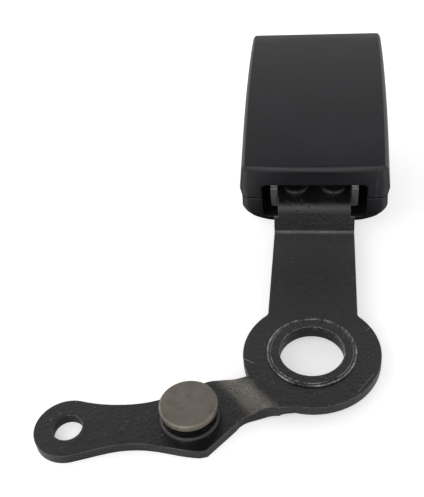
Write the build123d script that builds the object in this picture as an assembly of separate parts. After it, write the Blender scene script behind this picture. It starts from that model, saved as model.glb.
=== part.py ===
"""Seat belt buckle on a folded anchor strap, with the latch mechanism inside its two covers.

Millimetres. The origin is on the axis of the anchor bore, at the strap's upper face; +Z is the
bore axis and +Y runs along the strap to the buckle. Everything in the buckle is drawn in the
buckle's own frame (x across, y towards the mouth, z out of the front cover) and placed once.
"""

from build123d import *
from math import cos, radians, sin, tan
import os

# Anchor strap, one stamped and folded steel blank
strap_t = 3.0
strap_w = 26.0
neck_w = 23.4
ring_r = 19.2
bore_r = 9.0
lower_fold_y = 51.3
riser_len = 9.65
riser_angle = 75.0
buckle_tilt = 15.0
strap_end_y = 14.5
fold_r = 3.0
corner_r = 1.6

# Step down from the ring to the arm
step_dir = 222.8
step_start = 19.7
step_drop = 4.0
step_slope = 42.0
step_r = 3.6

# Arm with its stud and end eye
eye_x = -64.5
eye_y = -24.9
eye_r = 9.0
eye_far_join = 10.0
eye_near_join = 15.0
eye_hole_r = 4.0
stud_x = -31.7
stud_y = -21.1
stud_head_r = 7.75
stud_head_t = 2.2
stud_neck_r = 5.2
stud_shank_r = 4.2
stud_gap = 2.5
collar_r = 8.1
collar_t = 2.4
stud_chamfer = 0.5

# Flanged bush in the ring
bush_wall = 1.5
flange_r = 12.5
flange_t = 0.5
flange_ring_w = 0.5
flange_ring_depth = 0.2

# Clearances
press_gap = 0.03
slip_gap = 0.25
seat_gap = 0.3
shaft_gap = 0.05

# Buckle covers, outside sizes
cover_wall = 2.2
near_face_y = 1.5
cover_len = 65.5
cover_top = 16.2
cover_bottom = -11.4
belt_half = 24.2
belt_z = 5.2
top_half = 21.9
shoulder_r = 2.2
side_lean = 1.1
keel_half = 23.0
keel_z = -2.0
floor_half = 12.8
far_narrow = 0.975
far_drop = 2.4
near_narrow = 0.985
near_drop = 0.1
rim_near_r = 2.0
rim_far_r = 1.5
parting_z = 1.2
parting_gap = 0.6
lip_h = 1.6
lip_t = 1.0
lip_gap = 0.1

# Strap window in the near end of the covers
window_half = 16.9
window_high = 8.3
window_low = -8.3
window_r = 2.2

# Steel channel that carries the latch
frame_t = 2.2
frame_y0 = 3.9
frame_y1 = 58.8
wall_top = 10.4
wall_low_top = 2.4
wall_low_y = 45.0
wall_notch_z = 4.0
wall_notch_h = 1.6
wall_notch_d = 1.2
frame_bend_r = 1.2

# Rivets that hold the strap to the channel
rivet_x = 6.2
rivet_y = 8.6
rivet_r = 2.6
rivet_head_r = 4.4
rivet_head_h = 1.5

# Ejector and the slot that it runs in
ejector_y0 = 38.5
ejector_len = 9.5
ejector_half = 4.2
ejector_top = -0.5
ejector_travel = 10.0
keel_w = 5.6
foot_w = 9.6
foot_t = 1.3
slot_y0 = 17.0

# Latch plate, its axle and its hooks
latch_t = 2.2
latch_half = 8.2
latch_clear = 0.5
latch_swing = 10.5
axle_y = 19.5
axle_z = 2.2
axle_r = 1.5
latch_y1 = 46.0
hook_y0 = 43.0
hook_x0 = 5.0
hook_bite = 0.6
ramp_y0 = 31.2
ramp_y1 = 34.6
ramp_h = 2.0
ramp_end_y = 37.6
latch_lug_r = 2.9
latch_lug_t = 2.0
clip_t = 0.8
clip_r = 2.3

# Lock pin and the slider that carries it
pin_r = 1.75
pin_y = 30.0
pin_z = 6.8
pin_travel = 4.0
pin_half = 17.2
slider_half = 11.5
slider_y0 = 26.0
slider_y1 = 33.6
slider_t = 2.0
slider_cheek = 2.8

# Release button
button_half = 16.8
button_low = 3.4
button_high = 11.0
button_travel = 5.0
button_proud = 0.8
button_dish = 1.2
button_flange_half = 19.0
button_flange_t = 2.2
button_wall = 1.5
button_face_t = 2.6
arm_t = 1.6
arm_h = 5.4
arm_back_y = 26.4

# Mouth for the tongue
mouth_half = 13.4
mouth_low = -3.9
mouth_high = 1.5
mouth_flare = 0.9
guide_len = 6.6
guide_wall = 1.3
guide_flare_y = 2.4
guide_flange = 1.3
guide_flange_len = 4.2

# Coil springs: wire radius, coil radius, turns
spring_wire = 0.35
button_spring_r = 1.8
button_spring_x = 11.4
button_spring_len = 16.0
button_turns = 6
spring_stop_half = 2.4
ejector_spring_r = 1.9
ejector_turns = 9
lock_spring_r = 1.6
lock_spring_len = 10.5
lock_turns = 6

# Leaf spring under the latch
leaf_t = 0.5
leaf_w = 3.0
leaf_x = 6.4
leaf_y0 = 22.5
leaf_y1 = 34.0

# Posts that join the covers
post_r = 2.3
post_x = 18.9
post_pin_r = 1.1
post_pin_len = 3.0
near_post_y = 9.5
far_post_y = 39.5
rib_t = 1.6

# Values worked out from the ones above
half_strap = strap_t / 2
arm_top = -step_drop
button_mid = (button_low + button_high) / 2
frame_bottom = -strap_t - frame_t
frame_inner = neck_w / 2 + slip_gap
frame_outer = frame_inner + frame_t
far_face_y = near_face_y + cover_len
far_inner_y = far_face_y - cover_wall
button_back = far_inner_y - slip_gap - button_flange_t
button_well_y = far_face_y - button_face_t
button_spring_y = button_well_y - button_spring_len
mouth_wide = mouth_half + guide_wall
latch_low = latch_clear
latch_high = latch_clear + latch_t
crest_y = lower_fold_y + riser_len * cos(radians(riser_angle))
crest_z = riser_len * sin(radians(riser_angle))
buckle_place = Location((0, crest_y, crest_z), (buckle_tilt, 0, 0))


def block(x0, x1, y0, y1, z0, z1):
    """Solid box between two corners."""
    size = Box(x1 - x0, y1 - y0, z1 - z0)
    return Pos((x0 + x1) / 2, (y0 + y1) / 2, (z0 + z1) / 2) * size


def both_sides(shape):
    """The shape and its mirror image across the middle plane."""
    return [shape, mirror(shape, about=Plane.YZ)]


def rod_x(radius, x0, x1, y, z):
    """Round rod along x."""
    return Pos((x0 + x1) / 2, y, z) * Rot(0, 90, 0) * Cylinder(radius, x1 - x0)


def rod_z(radius, x, y, z0, z1):
    """Round rod along z."""
    return Pos(x, y, (z0 + z1) / 2) * Cylinder(radius, z1 - z0)


def moved_corner(corner, turn_from, turn_to, shift):
    """Corner of a folded line after the line is shifted to its right by a distance."""
    first = Vector(sin(radians(turn_from)), -cos(radians(turn_from)))
    second = Vector(sin(radians(turn_to)), -cos(radians(turn_to)))
    offset = (first + second) * (shift / (1 + first.dot(second)))
    return (corner[0] + offset.X, corner[1] + offset.Y)


def folded_sheet(plane, points, radii, width):
    """Sheet of the strap's thickness that follows a folded line, extruded to both sides."""
    line = FilletPolyline(*points, radius=radii)
    profile = trace(line, strap_t)
    return extrude(plane * profile, amount=width, both=True)


def strap_blank():
    """Outline of the stamped blank in plan, with its holes."""
    far_a = radians(eye_far_join)
    near_a = radians(eye_near_join)
    eye_far = (eye_x + eye_r * sin(far_a), eye_y + eye_r * cos(far_a))
    eye_near = (eye_x + eye_r * sin(near_a), eye_y - eye_r * cos(near_a))
    far_side = Spline((-18.5, -9.2), (-22.0, -8.8), (-26.4, -7.8), (-30.2, -9.0), (-41.3, -14.9), (-51.2, -16.9), eye_far)
    eye = ThreePointArc(eye_far, (eye_x - eye_r, eye_y), eye_near)
    near_side = Spline(eye_near, (-57.3, -32.0), (-50.4, -29.9), (-40.7, -29.4), (-34.4, -30.4), (-28.4, -31.0))
    heel = Polyline(near_side @ 1, (-26.4, -30.5), (-19.6, -22.2))
    inside = Spline(heel @ 1, (-16.9, -19.5), (-13.2, -18.6), (-8.3, -19.4))
    back = Polyline(inside @ 1, (-3.0, -18.6), (-3.0, -7.0), far_side @ 0)
    arm = make_face(Curve() + [far_side, eye, near_side, heel, inside, back])
    strap_len = lower_fold_y + corner_r
    strap = Pos(0, strap_len / 2) * Rectangle(strap_w, strap_len)
    neck = Pos(0, lower_fold_y + strap_end_y) * Rectangle(neck_w, 2 * strap_end_y + 4 * corner_r)
    plate = strap + Circle(ring_r)
    notch = plate.vertices().filter_by(lambda v: abs(abs(v.X) - strap_w / 2) < 0.01 and 0 < v.Y < ring_r)
    plate = fillet(notch, corner_r)
    outline = plate + arm + neck
    bush_hole = Circle(bore_r + bush_wall + press_gap)
    stud_hole = Pos(stud_x, stud_y) * Circle(stud_shank_r + press_gap)
    return outline - bush_hole - stud_hole - Pos(eye_x, eye_y) * Circle(eye_hole_r)


def anchor_strap():
    """Ring, strap with its double fold, and arm with its step down, from one blank."""
    low = moved_corner((lower_fold_y, 0), 0, riser_angle, half_strap)
    high = moved_corner((crest_y, crest_z), riser_angle, buckle_tilt, half_strap)
    tail = strap_end_y
    end = (high[0] + tail * cos(radians(buckle_tilt)), high[1] + tail * sin(radians(buckle_tilt)))
    start = (-2 * ring_r, -half_strap)
    rise = folded_sheet(Plane.YZ, [start, low, high, end], [fold_r, fold_r], 4 * ring_r)

    along = Vector(cos(radians(step_dir)), sin(radians(step_dir)), 0)
    run = step_drop / tan(radians(step_slope))
    top = moved_corner((step_start, 0), 0, -step_slope, half_strap)
    foot = moved_corner((step_start + run, -step_drop), -step_slope, 0, half_strap)
    step_plane = Plane(origin=(0, 0, 0), x_dir=along, z_dir=along.cross(Vector(0, 0, 1)))
    reach = 5 * ring_r
    points = [(ring_r / 2, -half_strap), top, foot, (reach, -half_strap - step_drop)]
    step = folded_sheet(step_plane, points, [step_r, step_r], reach)

    behind = Box(2 * reach, 2 * reach, 2 * reach)
    behind = Pos(*(along * (ring_r / 2 + reach))) * Rot(0, 0, step_dir) * behind
    sheet = (rise - behind) + step
    rivet_holes = both_sides(rod_z(rivet_r + press_gap, rivet_x, rivet_y, -2 * strap_t, strap_t))
    rivet_holes = [buckle_place * hole for hole in rivet_holes]
    return (sheet & extrude(strap_blank(), amount=2 * ring_r, both=True)) - rivet_holes


def anchor_bush():
    """Swaged bush with a flange on each face of the ring."""
    sleeve = bore_r + bush_wall
    low = -strap_t - flange_t
    points = [(bore_r, low), (flange_r, low), (flange_r, -strap_t), (sleeve, -strap_t), (sleeve, 0)]
    points += [(flange_r, 0), (flange_r, flange_t), (bore_r, flange_t)]
    profile = make_face(Plane.XZ * Polyline(*points, close=True))
    bush = revolve(profile, axis=Axis.Z)
    ring = Pos(0, 0, flange_t) * (
        Cylinder(flange_r - flange_ring_w, 2 * flange_ring_depth)
        - Cylinder(flange_r - 2 * flange_ring_w, 2 * flange_ring_depth)
    )
    return bush - ring


def hook_stud():
    """Headed stud, peened flush into the underside of the arm."""
    base = arm_top + collar_t
    head = base + stud_gap
    top = head + stud_head_t
    rim = stud_head_r - stud_chamfer
    points = [(0, arm_top - strap_t), (stud_shank_r, arm_top - strap_t), (stud_shank_r, arm_top)]
    points += [(stud_neck_r, arm_top), (stud_neck_r, head), (rim, head), (stud_head_r, head + stud_chamfer)]
    points += [(stud_head_r, top - stud_chamfer), (rim, top), (0, top)]
    profile = make_face(Plane.XZ * Polyline(*points, close=True))
    return Pos(stud_x, stud_y) * revolve(profile, axis=Axis.Z)


def stud_collar():
    """Spacer collar round the foot of the stud."""
    collar = rod_z(collar_r, 0, 0, arm_top, arm_top + collar_t)
    rim = collar.edges().filter_by(GeomType.CIRCLE).sort_by(Axis.Z)[-1]
    collar = chamfer(rim, stud_chamfer) - rod_z(stud_neck_r + press_gap, 0, 0, -ring_r, ring_r)
    return Pos(stud_x, stud_y) * collar


def cover_section(y, narrow, drop, inset):
    """Section of the covers across the buckle, moved inwards by the inset."""
    top = cover_top - drop - inset
    side = belt_half * narrow - inset
    shoulder = top_half * narrow - inset
    keel = keel_half * narrow - inset
    floor = floor_half * narrow
    bottom = cover_bottom + inset
    lean = side - side_lean
    knee = top - shoulder_r
    bend = (keel + floor) / 2 + (keel - floor) * 0.21, (keel_z + bottom) / 2 - (keel_z - bottom) * 0.21
    right = [
        Line((0, bottom), (floor, bottom)),
        ThreePointArc((floor, bottom), bend, (keel, keel_z)),
        Line((keel, keel_z), (side, belt_z)),
        Line((side, belt_z), (lean, knee)),
        TangentArc((lean, knee), (shoulder, top), tangent=(lean - side, knee - belt_z)),
        Line((shoulder, top), (0, top)),
    ]
    left = [mirror(edge, about=Plane.YZ) for edge in right]
    plane = Plane(origin=(0, y, 0), x_dir=(1, 0, 0), z_dir=(0, -1, 0))
    return plane * make_face(Curve() + right + left)


def cover_form(inset):
    """Body of the buckle, moved inwards by the inset, as a loft through four sections."""
    y0 = near_face_y + inset
    y1 = far_face_y - inset
    span = y1 - y0
    sections = [
        cover_section(y0, near_narrow, near_drop, inset),
        cover_section(y0 + span / 3, 1, 0, inset),
        cover_section(y0 + span * 2 / 3, 1, far_drop * 0.3, inset),
        cover_section(y1, far_narrow, far_drop, inset),
    ]
    return loft(sections)


def rounded_form():
    """Outside of the covers with their end rims rounded."""
    form = cover_form(0)
    near = form.faces().sort_by(Axis.Y)[0]
    form = fillet(near.edges(), rim_near_r)
    far = form.faces().sort_by(Axis.Y)[-1]
    return fillet(far.edges(), rim_far_r)


def slab(z0, z1):
    """Layer of space between two heights, wider than the covers."""
    return block(-2 * belt_half, 2 * belt_half, -belt_half, 2 * cover_len, z0, z1)


def strap_window():
    """Opening in the near end that the strap comes out of."""
    size = Rectangle(2 * window_half, window_high - window_low)
    size = fillet(size.vertices(), window_r)
    plane = Plane(origin=(0, near_face_y, (window_high + window_low) / 2), x_dir=(1, 0, 0), z_dir=(0, -1, 0))
    return extrude(plane * size, amount=cover_wall + slip_gap, both=True)


def mouth_cut():
    """Opening in the far end that the tongue guide fills."""
    return block(-mouth_wide, mouth_wide, far_inner_y - slip_gap, far_face_y + slip_gap,
                 mouth_low - guide_wall, button_low - slip_gap)


def post(y, z0, z1):
    """Round post near the side wall."""
    return rod_z(post_r, post_x, y, z0, z1)


def upper_cover():
    """Front cover with the button opening, posts and spring stops."""
    hollow = cover_form(cover_wall)
    skin = (rounded_form() - hollow) & slab(parting_z + parting_gap / 2, cover_top + cover_wall)
    rebate = cover_form(lip_t) & slab(0, parting_z + parting_gap / 2 + lip_h)
    parts = []
    for y in (near_post_y, far_post_y):
        peg = rod_z(post_pin_r, post_x, y, parting_z - post_pin_len, parting_z + 2 * lip_h)
        parts += both_sides(post(y, parting_z + lip_h, cover_top) + peg)
    stop_x0 = button_spring_x - spring_stop_half
    stop_x1 = button_spring_x + spring_stop_half
    stop = block(stop_x0, stop_x1, button_spring_y - rib_t, button_spring_y, button_low + button_wall, cover_top)
    parts += both_sides(stop)
    lock_stop_y = slider_y0 - lock_spring_len
    parts.append(block(-4.0, 4.0, lock_stop_y - rib_t, lock_stop_y, wall_top - 4.0, cover_top))
    for y in (frame_y0 + 4.0, wall_low_y - 11.0):
        parts += both_sides(block(frame_inner, belt_half, y, y + rib_t, wall_top, cover_top))
    inner = hollow & slab(parting_z, cover_top)
    ribs = (Part() + parts) & (inner + slab(parting_z - post_pin_len, parting_z + parting_gap))
    cover = (skin - rebate) + ribs
    opening = block(-button_half - slip_gap, button_half + slip_gap, far_inner_y - slip_gap,
                    far_face_y + slip_gap, button_low - slip_gap, button_high + slip_gap)
    return cover - opening - mouth_cut() - strap_window()


def lower_cover():
    """Rear cover with the lip, sockets for the pegs and ribs that carry the channel."""
    hollow = cover_form(cover_wall)
    edge = parting_z - parting_gap / 2
    skin = (rounded_form() - hollow) & slab(cover_bottom - cover_wall, edge)
    lip = (cover_form(lip_t + lip_gap) - hollow) & slab(edge, edge + parting_gap + lip_h)
    sockets = []
    for y in (near_post_y, far_post_y):
        hole = rod_z(post_pin_r + shaft_gap, post_x, y, parting_z - post_pin_len - lip_h, parting_z + lip_h)
        sockets += both_sides(post(y, cover_bottom, parting_z + lip_h) - hole)
    ribs = []
    for y in (frame_y0 + 10.5, frame_y1 - 4.0):
        ribs.append(block(-frame_outer, frame_outer, y, y + rib_t, cover_bottom, frame_bottom))
    inside = (Part() + sockets + ribs) & hollow
    cover = skin + lip + inside
    return cover - mouth_cut() - strap_window()


def tongue_guide():
    """Frame in the mouth that leads the tongue in, with flared lips."""
    y1 = far_face_y - 0.4
    y0 = y1 - guide_len
    low = mouth_low - guide_wall
    high = mouth_high + guide_wall
    body = block(-mouth_wide, mouth_wide, y0, y1, low, high)
    flange_x = mouth_wide + guide_flange
    body += block(-flange_x, flange_x, y0, y0 + guide_flange_len, low - guide_flange, high)
    centre = (mouth_low + mouth_high) / 2
    height = mouth_high - mouth_low

    def opening(y, grow):
        plane = Plane(origin=(0, y, centre), x_dir=(1, 0, 0), z_dir=(0, -1, 0))
        return plane * Rectangle(2 * mouth_half + 2 * grow, height + 2 * grow)

    through = block(-mouth_half, mouth_half, y0 - 1, y1 + 1, mouth_low, mouth_high)
    flare = loft([opening(y1 - guide_flare_y, 0), opening(y1, mouth_flare)])
    return body - through - flare


def buckle_frame():
    """Steel channel: base with its windows, and two walls with the axle and lock pin slots."""
    base = block(-frame_outer, frame_outer, frame_y0, frame_y1, frame_bottom, -strap_t)
    side = Polyline(
        (frame_y0, frame_bottom), (frame_y1, frame_bottom), (frame_y1, wall_low_top),
        (wall_low_y, wall_low_top), (wall_low_y - 5.0, wall_top), (frame_y0, wall_top), close=True,
    )
    wall = extrude(Plane(origin=(frame_inner, 0, 0), x_dir=(0, 1, 0), z_dir=(1, 0, 0)) * make_face(side), frame_t)
    notch = block(0, ring_r, frame_y0 - 1, frame_y0 + wall_notch_d, wall_notch_z, wall_notch_z + wall_notch_h)
    axle_hole = rod_x(axle_r + shaft_gap, 0, 2 * ring_r, axle_y, axle_z)
    slot_r = pin_r + shaft_gap
    pin_slot = block(0, 2 * ring_r, pin_y, pin_y + pin_travel, pin_z - slot_r, pin_z + slot_r)
    pin_slot += rod_x(slot_r, 0, 2 * ring_r, pin_y, pin_z) + rod_x(slot_r, 0, 2 * ring_r, pin_y + pin_travel, pin_z)
    wall = wall - notch - axle_hole - pin_slot
    channel = base + both_sides(wall)
    outer_edges = channel.edges().filter_by(Axis.Y).filter_by(
        lambda e: abs(abs(e.center().X) - frame_outer) < 0.01 and abs(e.center().Z - frame_bottom) < 0.01
    )
    channel = fillet(outer_edges, frame_bend_r)
    slot_end = ejector_y0 + ejector_len + slip_gap
    runner = block(-keel_w / 2 - slip_gap, keel_w / 2 + slip_gap, slot_y0, slot_end, frame_bottom - 1, 0)
    hook_hole = block(-latch_half - 1.0, latch_half + 1.0, hook_y0 - 0.8, latch_y1 + 2.2, frame_bottom - 1, 0)
    rivets = both_sides(rod_z(rivet_r + press_gap, rivet_x, rivet_y, frame_bottom - 1, 0))
    return channel - runner - hook_hole - rivets


def strap_rivets():
    """Two rivets through the strap's tail and the channel."""
    shank = rod_z(rivet_r, rivet_x, rivet_y, frame_bottom, 0)
    head = rod_z(rivet_head_r, rivet_x, rivet_y, 0, rivet_head_h)
    rim = head.edges().filter_by(GeomType.CIRCLE).sort_by(Axis.Z)[-1]
    head = fillet(rim, rivet_head_h * 0.7)
    foot = rod_z(rivet_head_r, rivet_x, rivet_y, frame_bottom - rivet_head_h, frame_bottom)
    return both_sides(shank + head + foot)


def ejector():
    """Plastic ejector with a keel in the channel's slot and a foot that holds it down."""
    y1 = ejector_y0 + ejector_len
    pad = block(-ejector_half, ejector_half, ejector_y0, y1, -strap_t + seat_gap / 2, ejector_top)
    nose = pad.edges().filter_by(Axis.X).sort_by(Axis.Y)[-2:]
    pad = chamfer(nose.sort_by(Axis.Z)[-1], 0.6)
    keel = block(-keel_w / 2, keel_w / 2, ejector_y0, y1, frame_bottom - seat_gap, -strap_t + seat_gap)
    foot = block(-foot_w / 2, foot_w / 2, ejector_y0, y1 - 3.0, frame_bottom - seat_gap - foot_t,
                 frame_bottom - seat_gap / 2)
    return pad + keel + foot


def latch_plate():
    """Latch plate at rest, swung up about its axle, with two hooks, a ramp and two lugs."""
    side = Polyline(
        (axle_y - latch_lug_r, latch_low), (hook_y0, latch_low), (hook_y0, -strap_t - hook_bite),
        (hook_y0 + 1.6, -strap_t - hook_bite), (latch_y1, latch_low - 1.0), (latch_y1, latch_high),
        (ramp_end_y, latch_high), (ramp_end_y, latch_high + ramp_h), (ramp_y1, latch_high + ramp_h),
        (ramp_y0, latch_high), (axle_y - latch_lug_r, latch_high), close=True,
    )
    plate = extrude(Plane.YZ * make_face(side), amount=latch_half, both=True)
    between = block(-hook_x0, hook_x0, hook_y0 - 1, latch_y1 + 1, -2 * strap_t, latch_low)
    lug = rod_x(latch_lug_r, latch_half, latch_half + latch_lug_t, axle_y, axle_z)
    bridge = block(latch_half - 1, latch_half + latch_lug_t, axle_y, axle_y + latch_lug_r, latch_low, latch_high)
    window = block(-hook_x0 + 1.4, hook_x0 - 1.4, axle_y + 5.0, ramp_y0 - 2.0, 0, 2 * latch_high)
    axle_way = rod_x(axle_r + shaft_gap, -ring_r, ring_r, axle_y, axle_z)
    groove = block(-latch_half - 1, latch_half + 1, axle_y - 2 * latch_lug_r, axle_y + axle_r + 0.6,
                   latch_low - 1, 2 * latch_high)
    plate = (plate - between - window - groove) + both_sides(lug + bridge) - axle_way
    tie = block(-latch_half - 1, latch_half + 1, axle_y + axle_r + 0.3, axle_y + axle_r + 1.6, latch_low, latch_high)
    shape = plate + tie
    pivot = Axis((0, axle_y, axle_z), (1, 0, 0))
    return shape.rotate(pivot, latch_swing)


def latch_axle():
    """Axle of the latch, held in both walls."""
    half = frame_outer + clip_t + 1.0
    return rod_x(axle_r, -half, half, axle_y, axle_z)


def axle_clips():
    """Ring clips on the ends of the axle."""
    x0 = frame_outer
    ring = rod_x(clip_r, x0, x0 + clip_t, axle_y, axle_z) - rod_x(axle_r + press_gap, 0, 2 * ring_r, axle_y, axle_z)
    return both_sides(ring)


def latch_spring():
    """Pair of leaf springs that lift the latch, joined by their foot strip."""
    foot_z = -strap_t + leaf_t / 2
    rise = (latch_low - leaf_t + (leaf_y1 - axle_y) * tan(radians(latch_swing))) - seat_gap
    line = FilletPolyline((leaf_y0, foot_z), (leaf_y0 + 3.5, foot_z), (leaf_y1, rise), radius=2.0)
    leaf = extrude(Plane.YZ * trace(line, leaf_t), amount=leaf_w / 2, both=True)
    leaf = Pos(leaf_x, 0, 0) * leaf
    return both_sides(leaf)


def lock_pin():
    """Hardened pin that holds the latch down when it is over the ramp."""
    return rod_x(pin_r, -pin_half, pin_half, pin_y, pin_z)


def lock_slider():
    """Plastic slider above the latch that carries the lock pin between two cheeks."""
    low = pin_z + pin_r + slip_gap
    top = block(-slider_half, slider_half, slider_y0, slider_y1, low, low + slider_t)
    cheek = block(slider_half - slider_cheek, slider_half, slider_y0, slider_y1, pin_z - pin_r, low)
    slider = top + both_sides(cheek)
    return slider - rod_x(pin_r + press_gap, -ring_r, ring_r, pin_y, pin_z)


def release_button():
    """Button with a dished face, a flange behind the cover and two arms to the lock pin."""
    front = far_face_y + button_proud
    back = button_back
    cap = block(-button_half, button_half, back, front, button_low, button_high)
    cap = fillet(cap.edges().group_by(Axis.Y)[-1], 0.7)
    dish_r = (button_half ** 2 + button_dish ** 2) / (2 * button_dish)
    dish = rod_z(dish_r, 0, front + dish_r - button_dish, 0, 2 * button_high)
    well = block(-button_half + button_wall, button_half - button_wall, back - 1, button_well_y,
                 button_low + button_wall, button_high - button_wall)
    flange = block(-button_flange_half, button_flange_half, back, back + button_flange_t,
                   button_low, button_high - 1.0)
    arm_x0 = frame_outer + slip_gap + 0.2
    arm = block(arm_x0, arm_x0 + arm_t, arm_back_y, back + button_flange_t, pin_z - arm_h / 2, pin_z + arm_h / 2)
    reach = pin_r + slip_gap
    lost = pin_travel + button_travel
    slot = block(0, ring_r, pin_y - reach, pin_y + reach + lost, pin_z - reach, pin_z + reach)
    return (cap - dish - well) + (flange - well) + both_sides(arm - slot)


def coil_spring(radius, turns, length, place):
    """Coil spring along y from its seat, with a six-sided wire section."""
    pitch = (length - 2 * spring_wire) / turns
    path = Helix(pitch, pitch * turns, radius)
    start = Plane(origin=path @ 0, z_dir=path % 0)
    wire = sweep(start * RegularPolygon(spring_wire, 6), path=path, is_frenet=True)
    return place * Pos(0, spring_wire, 0) * Rot(-90, 0, 0) * wire


def button_spring(side):
    """Return spring of the button, on one side."""
    place = Pos(side * button_spring_x, button_spring_y, button_mid)
    return coil_spring(button_spring_r, button_turns, button_spring_len, place)


def ejector_spring():
    """Spring between the end of the slot and the ejector."""
    length = ejector_y0 - slot_y0
    place = Pos(0, slot_y0, -strap_t + 0.1)
    return coil_spring(ejector_spring_r, ejector_turns, length, place)


def lock_spring():
    """Spring that drives the lock slider over the latch."""
    z = pin_z + pin_r + slip_gap + slider_t / 2
    place = Pos(0, slider_y0 - lock_spring_len, z)
    return coil_spring(lock_spring_r, lock_turns, lock_spring_len, place)


def export(name, shape, place):
    """Place a part, or a list of parts, and write it as one STEP file."""
    solids = []
    for item in shape if isinstance(shape, list) else [shape]:
        solids += [place * solid for solid in item.solids()]
    whole = solids[0] if len(solids) == 1 else Compound(children=solids)
    export_step(whole, f"parts/{name}.step")


def main():
    os.makedirs("parts", exist_ok=True)
    strap_side = {
        "anchor_strap": anchor_strap(),
        "anchor_bush": anchor_bush(),
        "hook_stud": hook_stud(),
        "stud_collar": stud_collar(),
    }
    buckle_side = {
        "upper_cover": upper_cover(),
        "lower_cover": lower_cover(),
        "tongue_guide": tongue_guide(),
        "buckle_frame": buckle_frame(),
        "strap_rivets": strap_rivets(),
        "ejector": ejector(),
        "ejector_spring": ejector_spring(),
        "latch_plate": latch_plate(),
        "latch_axle": latch_axle(),
        "axle_clips": axle_clips(),
        "latch_spring": latch_spring(),
        "lock_pin": lock_pin(),
        "lock_slider": lock_slider(),
        "lock_spring": lock_spring(),
        "release_button": release_button(),
        "button_spring_left": button_spring(-1),
        "button_spring_right": button_spring(1),
    }
    for name, shape in strap_side.items():
        export(name, shape, Location())
    for name, shape in buckle_side.items():
        export(name, shape, buckle_place)


if __name__ == "__main__":
    main()
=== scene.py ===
"""Looks of the seat belt buckle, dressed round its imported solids.

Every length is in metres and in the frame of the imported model: the origin is on the axis of the
anchor bore at the strap's upper face, +Z is the bore's axis and +Y runs to the buckle. Points of
the buckle's own frame are in millimetres: x across, y to the mouth and z out of the front cover.
"""

from math import copysign, cos, radians, sin

import bmesh
import bpy
from mathutils import Matrix, Vector


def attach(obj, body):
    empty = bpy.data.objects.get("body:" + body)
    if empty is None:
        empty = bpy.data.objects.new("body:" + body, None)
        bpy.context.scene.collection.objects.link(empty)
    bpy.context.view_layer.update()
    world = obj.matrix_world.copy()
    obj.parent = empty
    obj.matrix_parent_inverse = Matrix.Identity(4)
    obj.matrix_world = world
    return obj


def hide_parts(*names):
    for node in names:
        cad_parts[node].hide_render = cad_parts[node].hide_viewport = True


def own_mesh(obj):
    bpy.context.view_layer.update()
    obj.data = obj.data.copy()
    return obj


bl_info = {
    "name": "Seat Belt Buckle",
    "version": (1, 0, 0),
    "blender": (4, 5, 0),
    "location": "View3D > Sidebar > Buckle",
    "description": "Dresses the solids of a seat belt buckle in paint, plastic and steel",
    "category": "Object",
}

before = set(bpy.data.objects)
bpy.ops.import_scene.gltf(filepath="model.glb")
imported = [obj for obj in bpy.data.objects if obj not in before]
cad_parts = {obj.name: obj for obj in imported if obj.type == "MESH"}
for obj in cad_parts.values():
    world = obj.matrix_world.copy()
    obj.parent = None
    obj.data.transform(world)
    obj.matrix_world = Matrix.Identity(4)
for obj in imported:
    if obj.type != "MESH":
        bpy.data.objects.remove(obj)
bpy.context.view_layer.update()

MM = 0.001

# The buckle's own frame
BUCKLE_TILT = radians(15.0)
BUCKLE_ORIGIN = Vector((0.0, 53.798 * MM, 9.321 * MM))
BUCKLE_SIDE = Vector((1.0, 0.0, 0.0))
BUCKLE_AXIS = Vector((0.0, cos(BUCKLE_TILT), sin(BUCKLE_TILT)))
BUCKLE_UP = Vector((0.0, -sin(BUCKLE_TILT), cos(BUCKLE_TILT)))

# The step in the strap's arm, the fold up to the buckle, and the bush in the ring
STEP_HEADING = radians(222.8)
STEP_START = 19.7 * MM
STEP_LENGTH = 4.5 * MM
FOLD_REACH = 51.3 * MM
BORE_RADIUS = 9.0 * MM
STEP_RING_RADIUS = 12.0 * MM

# How the covers' skins differ from their solids, in millimetres of the buckle's frame. A pair in
# brackets says where a change starts and where it is complete
NEAR_END, FAR_END = (3.7, 1.6), (64.9, 66.9)
NEAR_HALF_WIDTH, FAR_HALF_WIDTH = 23.0, 22.0
NEAR_BOW, FAR_BOW = 0.9, 0.35
NEAR_CORNER, NEAR_CORNER_SIDE = 0.35, (19.0, 23.5)
FAR_CORNER, FAR_CORNER_SIDE = 0.8, (17.5, 22.5)
SIDE_PUSH, SIDE_DEPTH = 1.2, (-1.0, 7.0)
BOTTOM_LOSS, BOTTOM_DEPTH = 0.6, (8.4, 10.6)
PARTING_PUSH, PARTING_DEPTH, PARTING_END = 0.5, (-3.0, 1.0), (7.0, 2.0)
WALL_INNER, BASE_INNER, BASE_DEPTH = 17.2, 10.0, (8.4, 9.4)
WALL_FADE = 3.5
WELD = 0.002 * MM
SHARP_EDGE = radians(32.0)

# Springs, in millimetres of the buckle's frame
BUTTON_TRAVEL, EJECTOR_TRAVEL = 5.0, 10.0
LEAF_PATH = (
    (22.5, -2.75), (25.3, -2.75), (25.9, -2.68), (26.5, -2.45), (27.1, -2.05), (30.5, 0.15),
    (34.0, 2.387),
)
LEAF_PLACES = (-6.4, 6.4)
LEAF_HALF_WIDTH, LEAF_THICKNESS = 1.5, 0.5
LEAF_FOOT, LEAF_KEEP = (0.0, 22.5, -3.0), 0.5
COIL_SIDES, COIL_TURN_STEPS = 10, 28

# Greys of the paint for a painted sheen, for rubbed edges and for dust specks that are also painted
# glints, and how a steel's grain is drawn out
SHEEN_PAINT = (0.052, 0.052, 0.054)
RUBBED_PAINT = (0.050, 0.050, 0.052)
DUST_AND_GLINT = (0.15, 0.15, 0.15)
EVEN_GRAIN = (1.0, 1.0, 1.0)
AXLE_GRAIN = (0.1, 1.0, 1.0)
PLATE_GRAIN = (1.0, 0.2, 1.0)
LEAF_GRAIN = (1.0, 0.3, 1.0)

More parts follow.
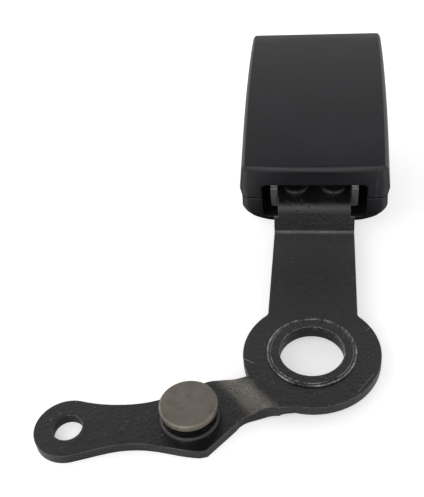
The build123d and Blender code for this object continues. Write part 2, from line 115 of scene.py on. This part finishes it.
# The stage
KEY_PLACE, KEY_SIZE = (-0.20, -0.55, 0.60), (0.7, 0.5)
FILL_PLACE, FILL_SIZE = (-0.60, 0.15, 0.30), (0.4, 0.4)
LAMP_AIM = (0.0, 0.04, 0.0)
SKY_LOW, SKY_HIGH, SKY_FADE = 1.10, 0.11, (0.55, 1.0)
FLOOR_HALF_SIZE = 6.0
FLOOR_GLOW = 0.42
FLOOR_SEEN, FLOOR_BOUNCE, FLOOR_SHADE = (0.93,) * 3, (0.88,) * 3, (0.03,) * 3
SHADE_SIDE, SHADE_REACH = (34.0 * MM, 22.0 * MM), (20.0 * MM, 42.0 * MM)
WHITE, BLACK = (1.0,) * 3, (0.0,) * 3


def buckle_point(x, y, z):
    """Point of the buckle's own frame in the frame of the model."""
    return BUCKLE_ORIGIN + BUCKLE_SIDE * (x * MM) + BUCKLE_AXIS * (y * MM) + BUCKLE_UP * (z * MM)


def toned(colour, gain, lift=0.0):
    """Colour made lighter or darker."""
    return tuple(min(channel * gain + lift, 1.0) for channel in colour)


class Wire:
    """An output socket among nodes, on which arithmetic adds Math nodes."""

    def __init__(self, nodes, socket):
        self.nodes = nodes
        self.socket = socket

    def maths(self, operation, first, second=0.0):
        return self.nodes.node("ShaderNodeMath", {"operation": operation}, {0: first, 1: second})

    def __add__(self, other):
        return self.maths("ADD", self, other)

    def __sub__(self, other):
        return self.maths("SUBTRACT", self, other)

    def __rsub__(self, other):
        return self.maths("SUBTRACT", other, self)

    def __mul__(self, other):
        return self.maths("MULTIPLY", self, other)

    __radd__ = __add__
    __rmul__ = __mul__

    def larger(self, other):
        return self.maths("MAXIMUM", self, other)

    def size(self):
        return self.maths("ABSOLUTE", self)

    def rise(self, low, high):
        """0 at low, 1 at high, a smooth step between them and level beyond, whichever is larger."""
        inputs = {0: self, 1: low, 2: high, 3: 0.0, 4: 1.0}
        settings = {"interpolation_type": "SMOOTHSTEP"}
        return self.nodes.node("ShaderNodeMapRange", settings, inputs)

    def between(self, low, high, soft):
        """1 between low and high and 0 beyond them, with a smooth step inside each end."""
        return self.rise(low, low + soft) * self.rise(high, high - soft)


class Nodes:
    """The nodes of a material or of the world while they are wired up."""

    def __init__(self, tree, surface):
        self.tree = tree
        self.surface = tree.nodes[surface]

    def node(self, kind, settings=None, inputs=None, output=0):
        """Adds a node: its settings first, then the values or links of its sockets."""
        made = self.tree.nodes.new(kind)
        for name, value in (settings or {}).items():
            setattr(made, name, value)
        for key, value in (inputs or {}).items():
            self.feed(made.inputs[key], value)
        return Wire(self, made.outputs[output])

    def feed(self, socket, value):
        if isinstance(value, Wire):
            self.tree.links.new(value.socket, socket)
        else:
            socket.default_value = value

    def set(self, **values):
        """Sets or links the surface's sockets, whose names are given with underscores."""
        for name, value in values.items():
            self.feed(self.surface.inputs[name.replace("_", " ")], value)

    def part_of(self, place, axis):
        """One of a place's three numbers."""
        return self.node("ShaderNodeSeparateXYZ", None, {0: place}, output=axis)

    def camera_ray(self):
        """1 where the camera looks and 0 for bounced light."""
        return self.node("ShaderNodeLightPath", output="Is Camera Ray")


class Finish(Nodes):
    """A material while it is wired up."""

    def __init__(self, name):
        self.material = bpy.data.materials.new(name)
        self.material.use_nodes = True
        super().__init__(self.material.node_tree, "Principled BSDF")
        self.place = self.node("ShaderNodeTexCoord", output="Object")

    def noise(self, scale, detail, roughness=0.5, place=None):
        inputs = {
            "Vector": place or self.place, "Scale": scale, "Detail": detail,
            "Roughness": roughness,
        }
        return self.node("ShaderNodeTexNoise", None, inputs)

    def cells(self, scale):
        """Distance from the nearest of many scattered points."""
        return self.node("ShaderNodeTexVoronoi", None, {"Vector": self.place, "Scale": scale})

    def mix(self, share, first, second):
        """Colour between two colours, each a Wire or three numbers."""
        colours = [part if isinstance(part, Wire) else (*part, 1.0) for part in (first, second)]
        inputs = {0: share, 6: colours[0], 7: colours[1]}
        return self.node("ShaderNodeMix", {"data_type": "RGBA"}, inputs, output=2)

    def stretched(self, scale):
        """Place in the material, scaled by axis, for grain with a direction."""
        return self.node("ShaderNodeMapping", None, {"Vector": self.place, "Scale": scale})

    def in_buckle(self):
        """Place in the buckle's own frame."""
        turn = (BUCKLE_TILT, 0.0, 0.0)
        inputs = {"Vector": self.place, "Location": BUCKLE_ORIGIN, "Rotation": turn}
        return self.node("ShaderNodeMapping", {"vector_type": "TEXTURE"}, inputs)

    def vectors(self, operation, first, second, output=0):
        settings = {"operation": operation}
        return self.node("ShaderNodeVectorMath", settings, {0: first, 1: second}, output=output)

    def flat(self, place):
        """Place with its height set to 0."""
        return self.vectors("MULTIPLY", place, (1.0, 1.0, 0.0))

    def radial(self):
        """Distance from the upright axis through the origin."""
        return self.vectors("LENGTH", self.flat(self.place), (0.0, 0.0, 0.0), output="Value")

    def facing(self):
        return self.node("ShaderNodeNewGeometry", output="Normal")

    def upward(self):
        """1 on faces that look up."""
        return self.part_of(self.facing(), 2).rise(0.3, 0.6)

    def rolled(self, radius, samples=8):
        """Normal of the surface with its sharp edges rolled over to a radius."""
        return self.node("ShaderNodeBevel", {"samples": samples}, {"Radius": radius})

    def edges(self, radius):
        """0 on the part's faces, and more on its sharp edges, within a radius."""
        rounded = self.rolled(radius, samples=6)
        return 1.0 - self.vectors("DOT_PRODUCT", rounded, self.facing(), output="Value")

    def scratch(self, place, start, end, half_width):
        """1 along the line between two points in millimetres, seen from above, and 0 beside it."""
        start, end = (Vector((x * MM, y * MM, 0.0)) for x, y in (start, end))
        along = end - start
        away = self.vectors("SUBTRACT", self.flat(place), start)
        per_length = along / along.length_squared
        share = self.vectors("DOT_PRODUCT", away, per_length, output="Value")
        held = self.node("ShaderNodeClamp", None, {0: share})
        nearest = self.node("ShaderNodeVectorMath", {"operation": "SCALE"}, {0: along, 3: held})
        gap = self.vectors("DISTANCE", away, nearest, output="Value")
        return gap.rise(half_width * MM, half_width * MM * 0.25)

    def bump(self, height, distance, strength, normal):
        inputs = {"Height": height, "Distance": distance, "Strength": strength, "Normal": normal}
        return self.node("ShaderNodeBump", None, inputs)


def painted(name, colour, bare, roughness, worn, wear_and_highlight=None, painted_sheen=None):
    """Black paint on pressed steel: orange peel, dust specks that are also painted glints, edges
    worn to the metal, and a painted sheen and painted highlights where given.
    """
    finish = Finish(name)
    peel = finish.noise(850.0, 3.0, 0.55)
    fine = finish.noise(4200.0, 3.0, 0.6)
    cloud = finish.noise(160.0, 4.0, 0.6)
    # Pale grey specks: dust, and painted glints of light on the paint.
    specks_and_glints = finish.cells(1100.0).rise(0.20, 0.10) * finish.noise(260.0, 3.0).rise(0.50, 0.60)
    pimples = finish.cells(420.0).rise(0.20, 0.05) * finish.noise(210.0, 2.0).rise(0.50, 0.60)
    ragged = finish.noise(1500.0, 5.0, 0.7) * 0.6 + cloud * 0.4
    rim = (finish.edges(0.5 * MM) * 2.2).rise(0.2, 0.7)
    chips_and_highlights = rim * (ragged + 0.10 * worn).rise(0.53, 0.60) * worn
    # A strap or a bush adds its own marks: real wear, and painted highlights in bare steel colour.
    if wear_and_highlight:
        chips_and_highlights = chips_and_highlights.larger(wear_and_highlight(finish, ragged))
    dust_and_sheen = finish.mix(cloud.rise(0.35, 0.75) * 0.6, colour, toned(colour, 1.6, 0.002))
    # Painted sheen: the paint made paler grey where the strap would catch light.
    if painted_sheen:
        dust_and_sheen = finish.mix(painted_sheen(finish) * (0.75 + fine * 0.5), dust_and_sheen, SHEEN_PAINT)
    dust_and_sheen = finish.mix(rim * 0.30, dust_and_sheen, RUBBED_PAINT)
    dust_and_sheen = finish.mix(specks_and_glints * 0.55, dust_and_sheen, DUST_AND_GLINT)
    finish.set(Base_Color=finish.mix(chips_and_highlights * 0.9, dust_and_sheen, bare))
    finish.set(Metallic=chips_and_highlights * 0.6)
    finish.set(Roughness=roughness + (cloud - 0.5) * 0.22 + (fine - 0.5) * 0.16 + chips_and_highlights * 0.08)
    finish.set(Specular_IOR_Level=0.5)
    height = peel * 0.70 + fine * 0.22 + specks_and_glints * 0.5 + pimples * 0.9 - chips_and_highlights * 0.5
    finish.set(Normal=finish.bump(height, 0.20 * MM, 0.95, finish.rolled(0.45 * MM)))
    return finish.material


def moulded(name, colour, roughness, grain, marks=None):
    """Moulded plastic with a fine spark grain and light rubbing on its edges."""
    finish = Finish(name)
    grain_fine = finish.noise(5200.0, 2.0, 0.6)
    grain_wide = finish.noise(2300.0, 3.0, 0.55)
    cloud = finish.noise(70.0, 4.0, 0.55)
    rim = (finish.edges(0.6 * MM) * 2.0).rise(0.25, 0.9)
    rubbed = rim * finish.noise(900.0, 4.0, 0.65).rise(0.45, 0.6)
    pale = toned(colour, 2.4, 0.02)
    body = finish.mix(cloud.rise(0.3, 0.8) * 0.5, colour, toned(colour, 1.6))
    body = finish.mix(rubbed * 0.45, body, pale)
    rough = roughness + (cloud - 0.5) * 0.16 + (grain_wide - 0.5) * 0.14 - rim * 0.12
    height = grain_fine * 0.5 + grain_wide * 0.5
    if marks:
        pale_lines, smooth_lines = marks(finish)
        body = finish.mix(pale_lines * 0.5, body, pale)
        rough = rough + pale_lines * 0.10 - smooth_lines * 0.06
        height = height - pale_lines * 0.3
    finish.set(Base_Color=body)
    finish.set(Roughness=rough)
    finish.set(Specular_IOR_Level=0.5)
    finish.set(Normal=finish.bump(height, 0.10 * MM, grain, finish.rolled(0.5 * MM)))
    return finish.material


def steel(name, colour, roughness, streak=EVEN_GRAIN, tarnish=0.4):
    """Plated or drawn steel with fine streaks, a dull bloom and dark stains."""
    finish = Finish(name)
    lay = finish.noise(900.0, 4.0, 0.65, finish.stretched(streak))
    bloom = finish.noise(230.0, 5.0, 0.6)
    pits = finish.noise(2600.0, 3.0, 0.6)
    stains = finish.noise(520.0, 4.0, 0.6).rise(0.58, 0.68)
    rim = (finish.edges(0.4 * MM) * 2.0).rise(0.2, 0.8)
    body = finish.mix(bloom.rise(0.35, 0.75) * tarnish, colour, toned(colour, 0.55))
    body = finish.mix(stains * tarnish * 0.7, body, toned(colour, 0.35))
    body = finish.mix(rim * 0.4, body, toned(colour, 1.5))
    finish.set(Base_Color=body)
    finish.set(Metallic=0.9)
    finish.set(Roughness=roughness + (lay - 0.5) * 0.25 + (bloom - 0.5) * 0.2 - rim * 0.1)
    height = lay * 0.6 + pits * 0.4
    finish.set(Normal=finish.bump(height, 0.05 * MM, 0.5, finish.rolled(0.25 * MM)))
    return finish.material


def strap_wear_and_fold_highlight(finish, ragged):
    """Where the strap has lost its paint, on the step's slope and in scratches on the ring, and a
    painted highlight in bare steel colour along the fold.
    """
    heading = Vector((cos(STEP_HEADING), sin(STEP_HEADING), 0.0))
    along = finish.vectors("DOT_PRODUCT", finish.place, heading, output="Value")
    worn_start, worn_end = STEP_START - 3.0 * MM, STEP_START + STEP_LENGTH + 3.4 * MM
    slope = along.between(worn_start, worn_end, 4.8 * MM)
    speckle = finish.noise(3000.0, 4.0, 0.75) * 0.6 + ragged * 0.4
    slope = slope * (speckle + slope * 0.22).rise(0.54, 0.78)
    reach = finish.part_of(finish.place, 1)
    # Painted highlight: a ragged band of bare steel colour along the foot of the fold, where the
    # bend catches the light.
    fold = reach.between(FOLD_REACH - 0.7 * MM, FOLD_REACH + 0.7 * MM, 0.5 * MM)
    fold = fold * ragged.rise(0.46, 0.58) * 0.35
    lines = finish.scratch(finish.place, (-18.7, -3.0), (-16.0, -4.5), 0.16)
    lines = lines.larger(finish.scratch(finish.place, (15.0, 8.0), (16.2, 9.4), 0.10))
    broken = finish.scratch(finish.place, (12.5, -13.5), (16.8, -7.2), 0.14) * ragged
    return (slope * 0.62).larger(lines.larger(broken)).larger(fold) * finish.upward()


def strap_painted_sheen(finish):
    """Share of a painted sheen, paler paint standing in for light on the strap: most at the foot of
    the fold, and less to the ring.
    """
    reach = finish.part_of(finish.place, 1)
    foot = reach.rise(FOLD_REACH + 0.9 * MM, FOLD_REACH + 0.1 * MM)
    return reach.rise(STEP_RING_RADIUS, 50.0 * MM) * foot * finish.upward()


def bush_rim_highlight_and_lip_wear(finish, ragged):
    """A painted highlight of bright steel colour on the outer edge of the flange, and the lip of
    the bore worn to bright steel.
    """
    away = finish.radial()
    patches = finish.noise(95.0, 2.0).rise(0.42, 0.54)
    # Painted highlight: a ragged ring of bright steel colour along the flange's outer edge.
    rim = away.rise(STEP_RING_RADIUS + 0.10 * MM, STEP_RING_RADIUS + 0.28 * MM)
    rim = rim * ragged.rise(0.42, 0.56) * patches
    lip = away.rise(BORE_RADIUS + 0.40 * MM, BORE_RADIUS + 0.15 * MM)
    lip = lip * ragged.rise(0.54, 0.62) * 0.7
    return rim.larger(lip * finish.noise(140.0, 2.0).rise(0.45, 0.6))


def cover_marks(finish):
    """Long scuffs across the front cover: pale scratches, and rubbed lines a little smoother."""
    place = finish.in_buckle()
    broken = finish.noise(600.0, 4.0, 0.6).rise(0.38, 0.62)
    pale = finish.scratch(place, (9.0, 21.0), (18.5, 12.0), 0.16)
    pale = pale.larger(finish.scratch(place, (19.5, 2.0), (21.5, 4.2), 0.30))
    smooth = finish.scratch(place, (0.5, 26.5), (20.5, 4.5), 0.50)
    smooth = smooth.larger(finish.scratch(place, (7.0, 19.0), (17.5, 7.5), 1.0))
    smooth = smooth.larger(finish.scratch(place, (-4.0, 48.0), (1.0, 40.0), 0.9))
    return pale * broken, smooth * broken


def dress(node, finish):
    """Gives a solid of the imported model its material."""
    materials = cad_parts[node].data.materials
    materials.clear()
    materials.append(finish)


def mesh_piece(name, mesh, body, stands_for, finish):
    """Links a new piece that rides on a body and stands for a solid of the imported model."""
    piece = bpy.data.objects.new(name, mesh)
    bpy.context.scene.collection.objects.link(piece)
    mesh.materials.append(finish)
    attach(piece, body)
    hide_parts(stands_for)
    return piece


def made_mesh(mesh, name):
    """Mesh data from a finished bmesh, which is freed."""
    data = bpy.data.meshes.new(name)
    mesh.to_mesh(data)
    mesh.free()
    return data


def blend(value, start, end):
    """0 up to the start, 1 from the end on and a smooth step between them, either way round."""
    share = min(max((value - start) / (end - start), 0.0), 1.0)
    return share * share * (3.0 - 2.0 * share)


def filled_out(x, y, z):
    """A cover's point in the buckle's frame, with bowed ends and filled out lower corners."""
    side, depth = abs(x), -z
    near = NEAR_BOW * (side / NEAR_HALF_WIDTH) ** 2 + NEAR_CORNER * blend(side, *NEAR_CORNER_SIDE)
    far = FAR_BOW * (side / FAR_HALF_WIDTH) ** 2 + FAR_CORNER * blend(side, *FAR_CORNER_SIDE)
    along = y + near * blend(y, *NEAR_END) - far * blend(y, *FAR_END)
    push = SIDE_PUSH * blend(depth, *SIDE_DEPTH) * (1.0 - BOTTOM_LOSS * blend(depth, *BOTTOM_DEPTH))
    push += PARTING_PUSH * blend(depth, *PARTING_DEPTH) * blend(depth, *PARTING_END)
    inner = WALL_INNER + (BASE_INNER - WALL_INNER) * blend(depth, *BASE_DEPTH)
    push *= blend(side, inner, inner + WALL_FADE)
    return x + copysign(push, x), along, z


def cover_skin(node, name):
    """Mesh of a cover, its points moved to the fuller form and its facets shaded smooth."""
    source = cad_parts[node]
    points = []
    for vertex in source.data.vertices:
        away = (source.matrix_world @ vertex.co - BUCKLE_ORIGIN) / MM
        own = (away.dot(axis) for axis in (BUCKLE_SIDE, BUCKLE_AXIS, BUCKLE_UP))
        points.append(buckle_point(*filled_out(*own)))
    data = bpy.data.meshes.new(name)
    data.from_pydata(points, [], [list(face.vertices) for face in source.data.polygons])
    mesh = bmesh.new()
    mesh.from_mesh(data)
    bmesh.ops.remove_doubles(mesh, verts=mesh.verts, dist=WELD)
    for face in mesh.faces:
        face.smooth = True
    for edge in mesh.edges:
        edge.smooth = len(edge.link_faces) == 2 and edge.calc_face_angle() < SHARP_EDGE
    mesh.to_mesh(data)
    mesh.free()
    return data


def skin_rows(mesh, rows):
    """Joins rings of corners into a closed bar with filled ends."""
    corners = len(rows[0])
    for low, high in zip(rows, rows[1:]):
        for k in range(corners):
            after = (k + 1) % corners
            mesh.faces.new((low[k], low[after], high[after], high[k]))
    mesh.faces.new(list(reversed(rows[0])))
    mesh.faces.new(rows[-1])
    bmesh.ops.recalc_face_normals(mesh, faces=mesh.faces)


def leaf_mesh(name):
    """Both leaf springs: a flat strip along the leaf's path, once for each place across."""
    mesh = bmesh.new()
    path = [Vector(point) for point in LEAF_PATH]
    wide = LEAF_HALF_WIDTH
    for place in LEAF_PLACES:
        rows = []
        for i, point in enumerate(path):
            run = (path[min(i + 1, len(path) - 1)] - path[max(i - 1, 0)]).normalized()
            out = Vector((-run.y, run.x)) * (LEAF_THICKNESS / 2)
            corners = ((-wide, -out), (wide, -out), (wide, out), (-wide, out))
            ring = [buckle_point(place + x, *(point + step)) for x, step in corners]
            rows.append([mesh.verts.new(corner) for corner in ring])
        skin_rows(mesh, rows)
    return made_mesh(mesh, name)


def coil_mesh(name, seat, length, radius, wire, turns):
    """Coil spring of round wire from its seat along the buckle, with a closed turn at each end."""
    up = BUCKLE_AXIS.cross(BUCKLE_SIDE)
    closed = 2.0 * wire
    steps = int(turns * COIL_TURN_STEPS)
    mesh = bmesh.new()
    rows = []
    for i in range(steps + 1):
        turn = turns * i / steps
        if turn < 1.0:
            rise = wire + closed * turn
        elif turn > turns - 1.0:
            rise = length - wire - closed * (turns - turn)
        else:
            rise = wire + closed + (length - 2 * wire - 2 * closed) * (turn - 1.0) / (turns - 2.0)
        angle = radians(360.0 * turn)
        out = BUCKLE_SIDE * cos(angle) + up * sin(angle)
        centre = seat + BUCKLE_AXIS * rise + out * radius
        row = []
        for k in range(COIL_SIDES):
            around = radians(360.0 * k / COIL_SIDES)
            corner = out * (wire * cos(around)) + BUCKLE_AXIS * (wire * sin(around))
            row.append(mesh.verts.new(centre + corner))
        rows.append(row)
    skin_rows(mesh, rows)
    data = made_mesh(mesh, name)
    for face in data.polygons:
        face.use_smooth = True
    return data


def colour_of(name, description, default):
    return bpy.props.FloatVectorProperty(
        name=name, description=description, subtype="COLOR", default=default)


class BuckleColours(bpy.types.PropertyGroup):
    """Colours of the buckle's finishes."""

    paint: colour_of("Paint", "Paint of the strap and its fittings", (0.0050, 0.0050, 0.0057))
    # The bare steel colour also paints the highlight along the strap's fold.
    bare: colour_of("Bare steel", "Steel where the paint has gone", (0.25, 0.23, 0.195))
    # The bush steel colour also paints the highlight round the flange's outer edge.
    bush: colour_of("Bush steel", "Steel of the bush's worn rim", (0.42, 0.42, 0.41))
    stud: colour_of("Stud", "Bare steel of the headed stud", (0.20, 0.18, 0.155))
    cover: colour_of("Cover", "Plastic of the two covers", (0.0062, 0.0068, 0.0085))
    button: colour_of("Button", "Plastic of the release button", (0.52, 0.016, 0.012))
    slider: colour_of("Slider", "Plastic of ejector and lock slider", (0.62, 0.60, 0.55))
    plating: colour_of("Plating", "Zinc plated steel", (0.50, 0.51, 0.53))
    coil: colour_of("Coils", "Wire of the coil springs", (0.45, 0.45, 0.44))
    leaf: colour_of("Leaves", "Strip of the leaf springs", (0.42, 0.42, 0.43))


class BuckleSizes(bpy.types.PropertyGroup):
    """Sizes that belong to the looks alone."""

    wire: bpy.props.FloatProperty(
        name="Spring wire", description="Radius of the springs' wire", unit="LENGTH",
        default=0.35 * MM)
    paint_roughness: bpy.props.FloatProperty(
        name="Paint roughness", description="Roughness of the paint", subtype="FACTOR",
        default=0.32)
    cover_roughness: bpy.props.FloatProperty(
        name="Cover roughness", description="Roughness of the covers", subtype="FACTOR",
        default=0.40)


class BuckleStage(bpy.types.PropertyGroup):
    """The camera, the lamps and the floor."""

    camera_place: bpy.props.FloatVectorProperty(
        name="Camera place", description="Where the camera stands", subtype="TRANSLATION", size=3,
        default=(0.0028, -0.1449, 0.1648))
    heading: bpy.props.FloatProperty(
        name="Heading", description="Turn of the camera from +Y towards +X", subtype="ANGLE",
        default=radians(-8.03))
    pitch: bpy.props.FloatProperty(
        name="Pitch", description="How far the camera looks down", subtype="ANGLE",
        default=radians(40.91))
    roll: bpy.props.FloatProperty(
        name="Roll", description="Turn of the camera about its own axis", subtype="ANGLE",
        default=radians(4.88))
    lens: bpy.props.FloatProperty(
        name="Lens", description="Focal length", unit="CAMERA", default=56.43)
    shift: bpy.props.FloatProperty(
        name="Shift", description="Sideways shift of the lens", default=-0.0563)
    floor_height: bpy.props.FloatProperty(
        name="Floor height", description="Height of the floor under the arm", unit="LENGTH",
        default=-7.05 * MM)
    key_power: bpy.props.FloatProperty(
        name="Key light", description="Power of the lamp behind the camera", unit="POWER",
        default=1.5)
    fill_power: bpy.props.FloatProperty(
        name="Fill light", description="Power of the low lamp on the left", unit="POWER",
        default=0.9)


class BUCKLE_OT_strap(bpy.types.Operator):
    """Paint the strap and give it its bush, its collar and its bare stud"""

    bl_idname = "buckle.strap"
    bl_label = "Strap"

    def execute(self, context):
        colours = context.scene.buckle_colours
        paint, bare = tuple(colours.paint), tuple(colours.bare)
        rough = context.scene.buckle_sizes.paint_roughness
        strap = painted("strap_paint", paint, bare, rough, 1.0, strap_wear_and_fold_highlight, strap_painted_sheen)
        dress("anchor_strap", strap)
        bush = painted("bush_paint", paint, tuple(colours.bush), rough - 0.04, 1.0, bush_rim_highlight_and_lip_wear)
        dress("anchor_bush", bush)
        dress("stud_collar", painted("collar_paint", paint, bare, rough, 0.8))
        dress("hook_stud", steel("stud_steel", tuple(colours.stud), 0.52, tarnish=0.5))
        return {"FINISHED"}


class BUCKLE_OT_covers(bpy.types.Operator):
    """Give the two covers and the tongue guide their grained plastic"""

    bl_idname = "buckle.covers"
    bl_label = "Covers"

    def execute(self, context):
        cover = tuple(context.scene.buckle_colours.cover)
        rough = context.scene.buckle_sizes.cover_roughness
        finishes = {
            "upper_cover": moulded("upper_cover_plastic", cover, rough, 1.0, cover_marks),
            "lower_cover": moulded("lower_cover_plastic", cover, rough + 0.03, 1.0),
        }
        for node, finish in finishes.items():
            name = node + "_skin"
            mesh_piece(name, cover_skin(node, name), "anchor", node, finish)
        guide = moulded("guide_plastic", toned(cover, 0.7), rough - 0.08, 0.3)
        dress("tongue_guide", guide)
        return {"FINISHED"}


class BUCKLE_OT_latch(bpy.types.Operator):
    """Finish the steel channel, the latch, its axle, the lock and the ejector"""

    bl_idname = "buckle.latch"
    bl_label = "Latch"

    def execute(self, context):
        colours = context.scene.buckle_colours
        paint, bare = tuple(colours.paint), tuple(colours.bare)
        plating, slider = tuple(colours.plating), tuple(colours.slider)
        ground = toned(plating, 1.1)
        dress("buckle_frame", steel("channel_zinc", plating, 0.38))
        dress("latch_plate", steel("latch_zinc", plating, 0.34, PLATE_GRAIN))
        dress("strap_rivets", painted("rivet_paint", paint, bare, 0.45, 0.3))
        dress("latch_axle", steel("axle_ground", ground, 0.22, AXLE_GRAIN, 0.2))
        dress("axle_clips", steel("clip_steel", toned(plating, 0.6), 0.4))
        dress("lock_pin", steel("pin_ground", ground, 0.2, AXLE_GRAIN, 0.2))
        dress("lock_slider", moulded("slider_plastic", slider, 0.4, 0.2))
        dress("ejector", moulded("ejector_plastic", slider, 0.4, 0.2))
        return {"FINISHED"}


class BUCKLE_OT_springs(bpy.types.Operator):
    """Wind the coil springs and bend the leaf springs"""

    bl_idname = "buckle.springs"
    bl_label = "Springs"

    def execute(self, context):
        colours = context.scene.buckle_colours
        wire = context.scene.buckle_sizes.wire
        finish = steel("spring_wire", tuple(colours.coil), 0.3, tarnish=0.3)
        # Node, seat, length, radius, turns, the joint whose coil gets a mesh of its own, and that
        # joint's travel
        coils = (
            ("button_spring_left", (-11.4, 48.4, 7.2), 16.0, 1.8, 7, "button_slide", BUTTON_TRAVEL),
            ("button_spring_right", (11.4, 48.4, 7.2), 16.0, 1.8, 7, "button_slide", BUTTON_TRAVEL),
            ("ejector_spring", (0.0, 17.0, -2.9), 21.5, 1.9, 10, "ejector_slide", EJECTOR_TRAVEL),
            ("lock_spring", (0.0, 15.5, 9.8), 10.5, 1.6, 7, None, 0.0),
        )
        for node, place, length, radius, turns, joint, travel in coils:
            seat = buckle_point(*place)
            name = node + "_coil"
            mesh = coil_mesh(name, seat, length * MM, radius * MM, wire, turns)
            piece = mesh_piece(name, mesh, "anchor", node, finish)
            if joint:
                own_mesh(piece)
        strip = steel("leaf_steel", tuple(colours.leaf), 0.32, LEAF_GRAIN, 0.3)
        leaves = leaf_mesh("latch_leaves")
        piece = mesh_piece("latch_leaves", leaves, "anchor", "latch_spring", strip)
        foot = buckle_point(*LEAF_FOOT)
        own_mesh(piece)
        return {"FINISHED"}


class BUCKLE_OT_button(bpy.types.Operator):
    """Give the release button its red plastic"""

    bl_idname = "buckle.button"
    bl_label = "Button"

    def execute(self, context):
        red = tuple(context.scene.buckle_colours.button)
        dress("release_button", moulded("button_plastic", red, 0.38, 0.25))
        return {"FINISHED"}


def white_floor(height):
    """Pale floor that lights the part from below, but hardly at all beneath the buckle."""
    mesh = bmesh.new()
    bmesh.ops.create_grid(mesh, x_segments=1, y_segments=1, size=FLOOR_HALF_SIZE)
    floor = bpy.data.objects.new("floor", made_mesh(mesh, "floor"))
    floor.location.z = height
    bpy.context.scene.collection.objects.link(floor)
    finish = Finish("floor_white")
    seen = finish.camera_ray()
    shaded = finish.part_of(finish.place, 0).size().rise(*SHADE_SIDE)
    shaded = shaded * finish.part_of(finish.place, 1).rise(*SHADE_REACH)
    bounced = finish.mix(shaded, FLOOR_BOUNCE, FLOOR_SHADE)
    finish.set(Base_Color=finish.mix(seen, bounced, FLOOR_SEEN))
    finish.set(Emission_Color=finish.mix(seen, BLACK, WHITE), Emission_Strength=FLOOR_GLOW)
    finish.set(Roughness=0.9, Specular_IOR_Level=0.1)
    floor.data.materials.append(finish.material)


def area_lamp(name, place, size, power):
    """Soft lamp that faces the part."""
    lamp = bpy.data.lights.new(name, "AREA")
    lamp.shape = "RECTANGLE"
    lamp.size, lamp.size_y = size
    lamp.energy = power
    holder = bpy.data.objects.new(name, lamp)
    holder.location = place
    holder.rotation_euler = (Vector(LAMP_AIM) - Vector(place)).to_track_quat("-Z", "Y").to_euler()
    bpy.context.scene.collection.objects.link(holder)


def white_world():
    """Sky that is bright low down and dim overhead, and plain white to the camera."""
    world = bpy.data.worlds.new("studio")
    world.use_nodes = True
    sky = Nodes(world.node_tree, "Background")
    up = sky.part_of(sky.node("ShaderNodeTexCoord", output="Generated"), 2)
    glow = SKY_LOW + up.rise(*SKY_FADE) * (SKY_HIGH - SKY_LOW)
    sky.set(Color=(*WHITE, 1.0), Strength=glow + sky.camera_ray() * (1.0 - glow))
    bpy.context.scene.world = world


def photo_camera(stage):
    """Camera that sees the part as the photo does."""
    camera = bpy.data.cameras.new("camera")
    camera.lens = stage.lens
    camera.shift_x = stage.shift
    camera.clip_start, camera.clip_end = 0.01, 20.0
    holder = bpy.data.objects.new("camera", camera)
    level = Matrix.Rotation(radians(90.0) - stage.pitch, 4, "X")
    turn = Matrix.Rotation(-stage.heading, 4, "Z") @ level @ Matrix.Rotation(-stage.roll, 4, "Z")
    holder.matrix_world = Matrix.Translation(stage.camera_place) @ turn
    bpy.context.scene.collection.objects.link(holder)
    bpy.context.scene.camera = holder


class BUCKLE_OT_stage(bpy.types.Operator):
    """Set the pale floor, the soft lamps, the sky and the camera"""

    bl_idname = "buckle.stage"
    bl_label = "Stage"

    def execute(self, context):
        stage = context.scene.buckle_stage
        white_floor(stage.floor_height)
        area_lamp("key", KEY_PLACE, KEY_SIZE, stage.key_power)
        area_lamp("fill", FILL_PLACE, FILL_SIZE, stage.fill_power)
        white_world()
        photo_camera(stage)
        context.scene.view_settings.view_transform = "Standard"
        return {"FINISHED"}


class BUCKLE_PT_panel(bpy.types.Panel):
    """The buckle's operators and values"""

    bl_label = "Seat Belt Buckle"
    bl_space_type = "VIEW_3D"
    bl_region_type = "UI"
    bl_category = "Buckle"

    def draw(self, context):
        for operator in OPERATORS:
            self.layout.operator(operator.bl_idname)
        for owner in GROUPS:
            group = getattr(context.scene, owner)
            for name in group.__annotations__:
                self.layout.prop(group, name)


OPERATORS = (
    BUCKLE_OT_strap, BUCKLE_OT_covers, BUCKLE_OT_latch, BUCKLE_OT_springs, BUCKLE_OT_button,
    BUCKLE_OT_stage,
)
GROUPS = {
    "buckle_colours": BuckleColours, "buckle_sizes": BuckleSizes, "buckle_stage": BuckleStage,
}


def register():
    for cls in (*GROUPS.values(), *OPERATORS, BUCKLE_PT_panel):
        bpy.utils.register_class(cls)
    for name, group in GROUPS.items():
        setattr(bpy.types.Scene, name, bpy.props.PointerProperty(type=group))


def unregister():
    for name in GROUPS:
        delattr(bpy.types.Scene, name)
    for cls in (BUCKLE_PT_panel, *reversed(OPERATORS), *GROUPS.values()):
        bpy.utils.unregister_class(cls)


def main():
    register()
    bpy.ops.buckle.strap()
    bpy.ops.buckle.covers()
    bpy.ops.buckle.latch()
    bpy.ops.buckle.springs()
    bpy.ops.buckle.button()
    bpy.ops.buckle.stage()


if __name__ == "__main__":
    main()
